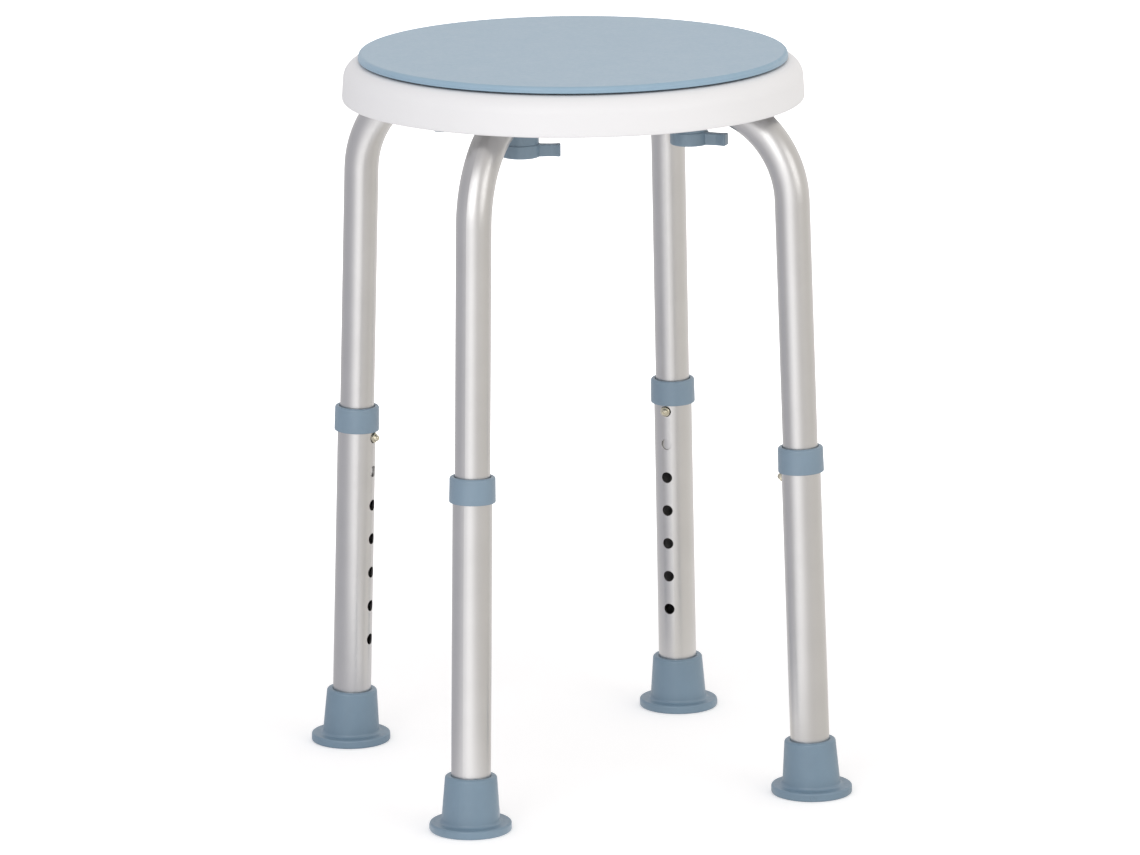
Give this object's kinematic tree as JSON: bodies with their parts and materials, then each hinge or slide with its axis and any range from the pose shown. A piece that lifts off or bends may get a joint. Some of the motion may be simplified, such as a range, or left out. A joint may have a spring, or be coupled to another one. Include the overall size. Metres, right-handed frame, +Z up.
{
  "type": "shower stool",
  "caption": "Round shower stool: a swivelling disc on a moulded seat shell, on bent aluminium legs that telescope and lock with snap buttons.",
  "frame": {"origin": "on the floor under the middle of the seat, with the stool at its highest setting", "axes": "+Z up, +X to the right and -Y to the front; the legs stand at 45 degrees to X and Y"},
  "size_m": [0.33, 0.33, 0.5275],
  "materials": {
    "seat_plastic": "white moulded polypropylene, satin gloss",
    "disc_plastic": "blue-grey moulded plastic, fine matt grain",
    "collar_plastic": "blue-grey moulded plastic, matt",
    "foot_rubber": "blue-grey rubber, matt",
    "knob_plastic": "blue-grey moulded plastic, matt",
    "tube_aluminium": "satin anodised",
    "button_steel": "nickel plated",
    "spring_steel": "bright spring steel",
    "zinc_steel": "zinc plated",
    "bearing_steel": "polished",
    "brass": "turned brass",
    "bearing_plastic": "natural acetal"
  },
  "bodies": {
    "root": {"seat_shell": "seat_plastic", "lower_race": "bearing_plastic", "pivot_bush": "bearing_plastic", "leg_inserts": "brass", "upper_leg_tube_front_left": "tube_aluminium", "upper_leg_tube_front_right": "tube_aluminium", "upper_leg_tube_rear_right": "tube_aluminium", "upper_leg_tube_rear_left": "tube_aluminium", "button_spring_front_left": "spring_steel", "button_spring_front_right": "spring_steel", "button_spring_rear_right": "spring_steel", "button_spring_rear_left": "spring_steel"},
    "swivel": {"swivel_disc": "disc_plastic", "upper_race": "bearing_plastic", "pivot_insert": "brass", "pivot_screw": "zinc_steel", "pivot_washer": "zinc_steel"},
    "cage": {"ball_cage": "bearing_plastic", "bearing_balls": "bearing_steel"},
    "lower_leg_front_left": {"lower_leg_tube_front_left": "tube_aluminium", "leg_collar_front_left": "collar_plastic", "foot_front_left": "foot_rubber", "foot_washer_front_left": "zinc_steel"},
    "button_front_left": {"snap_button_front_left": "button_steel"},
    "saddle_front_left": {"clamp_saddle_front_left": "knob_plastic"},
    "knob_front_left": {"lever_knob_front_left": "knob_plastic", "knob_stud_front_left": "zinc_steel"},
    "lower_leg_front_right": {"lower_leg_tube_front_right": "tube_aluminium", "leg_collar_front_right": "collar_plastic", "foot_front_right": "foot_rubber", "foot_washer_front_right": "zinc_steel"},
    "button_front_right": {"snap_button_front_right": "button_steel"},
    "saddle_front_right": {"clamp_saddle_front_right": "knob_plastic"},
    "knob_front_right": {"lever_knob_front_right": "knob_plastic", "knob_stud_front_right": "zinc_steel"},
    "lower_leg_rear_right": {"lower_leg_tube_rear_right": "tube_aluminium", "leg_collar_rear_right": "collar_plastic", "foot_rear_right": "foot_rubber", "foot_washer_rear_right": "zinc_steel"},
    "button_rear_right": {"snap_button_rear_right": "button_steel"},
    "saddle_rear_right": {"clamp_saddle_rear_right": "knob_plastic"},
    "knob_rear_right": {"lever_knob_rear_right": "knob_plastic", "knob_stud_rear_right": "zinc_steel"},
    "lower_leg_rear_left": {"lower_leg_tube_rear_left": "tube_aluminium", "leg_collar_rear_left": "collar_plastic", "foot_rear_left": "foot_rubber", "foot_washer_rear_left": "zinc_steel"},
    "button_rear_left": {"snap_button_rear_left": "button_steel"},
    "saddle_rear_left": {"clamp_saddle_rear_left": "knob_plastic"},
    "knob_rear_left": {"lever_knob_rear_left": "knob_plastic", "knob_stud_rear_left": "zinc_steel"}
  },
  "joints": [
    {"name": "disc_spin", "type": "hinge", "parent": "root", "child": "swivel", "pos_m": [0, 0, 0.5275], "axis": [0, 0, 1], "continuous": true},
    {"name": "cage_spin", "type": "hinge", "parent": "root", "child": "cage", "pos_m": [0, 0, 0.52035], "axis": [0, 0, 1], "continuous": true},
    {"name": "leg_slide_front_left", "type": "slide", "parent": "root", "child": "lower_leg_front_left", "axis": [0.0247, 0.0247, 0.9994], "range_m": [0, 0.1524]},
    {"name": "button_press_front_left", "type": "slide", "parent": "root", "child": "button_front_left", "axis": [-0.7067, -0.7067, 0.0349], "range_m": [0, 0.0056], "stiffness_N_per_m": 1200, "springref_m": -0.006, "deforming": ["button_spring_front_left"]},
    {"name": "saddle_drop_front_left", "type": "slide", "parent": "root", "child": "saddle_front_left", "axis": [0, 0, -1], "range_m": [0, 0.005]},
    {"name": "knob_turn_front_left", "type": "hinge", "parent": "saddle_front_left", "child": "knob_front_left", "pos_m": [-0.06365, -0.06365, 0.47], "axis": [0, 0, -1], "range_deg": [0, 1440]},
    {"name": "leg_slide_front_right", "type": "slide", "parent": "root", "child": "lower_leg_front_right", "axis": [-0.0247, 0.0247, 0.9994], "range_m": [0, 0.1524]},
    {"name": "button_press_front_right", "type": "slide", "parent": "root", "child": "button_front_right", "axis": [0.7067, -0.7067, 0.0349], "range_m": [0, 0.0056], "stiffness_N_per_m": 1200, "springref_m": -0.006, "deforming": ["button_spring_front_right"]},
    {"name": "saddle_drop_front_right", "type": "slide", "parent": "root", "child": "saddle_front_right", "axis": [0, 0, -1], "range_m": [0, 0.005]},
    {"name": "knob_turn_front_right", "type": "hinge", "parent": "saddle_front_right", "child": "knob_front_right", "pos_m": [0.06365, -0.06365, 0.47], "axis": [0, 0, -1], "range_deg": [0, 1440]},
    {"name": "leg_slide_rear_right", "type": "slide", "parent": "root", "child": "lower_leg_rear_right", "axis": [-0.0247, -0.0247, 0.9994], "range_m": [0, 0.1524]},
    {"name": "button_press_rear_right", "type": "slide", "parent": "root", "child": "button_rear_right", "axis": [0.7067, 0.7067, 0.0349], "range_m": [0, 0.0056], "stiffness_N_per_m": 1200, "springref_m": -0.006, "deforming": ["button_spring_rear_right"]},
    {"name": "saddle_drop_rear_right", "type": "slide", "parent": "root", "child": "saddle_rear_right", "axis": [0, 0, -1], "range_m": [0, 0.005]},
    {"name": "knob_turn_rear_right", "type": "hinge", "parent": "saddle_rear_right", "child": "knob_rear_right", "pos_m": [0.06365, 0.06365, 0.47], "axis": [0, 0, -1], "range_deg": [0, 1440]},
    {"name": "leg_slide_rear_left", "type": "slide", "parent": "root", "child": "lower_leg_rear_left", "axis": [0.0247, -0.0247, 0.9994], "range_m": [0, 0.1524]},
    {"name": "button_press_rear_left", "type": "slide", "parent": "root", "child": "button_rear_left", "axis": [-0.7067, 0.7067, 0.0349], "range_m": [0, 0.0056], "stiffness_N_per_m": 1200, "springref_m": -0.006, "deforming": ["button_spring_rear_left"]},
    {"name": "saddle_drop_rear_left", "type": "slide", "parent": "root", "child": "saddle_rear_left", "axis": [0, 0, -1], "range_m": [0, 0.005]},
    {"name": "knob_turn_rear_left", "type": "hinge", "parent": "saddle_rear_left", "child": "knob_rear_left", "pos_m": [-0.06365, 0.06365, 0.47], "axis": [0, 0, -1], "range_deg": [0, 1440]}
  ],
  "couplings": [
    {"joint": "cage_spin", "follows": "disc_spin", "ratio": 0.5},
    {"joint": "knob_turn_front_left", "follows": "saddle_drop_front_left", "rad_per_m": 5026.5},
    {"joint": "knob_turn_front_right", "follows": "saddle_drop_front_right", "rad_per_m": 5026.5},
    {"joint": "knob_turn_rear_right", "follows": "saddle_drop_rear_right", "rad_per_m": 5026.5},
    {"joint": "knob_turn_rear_left", "follows": "saddle_drop_rear_left", "rad_per_m": 5026.5}
  ]
}
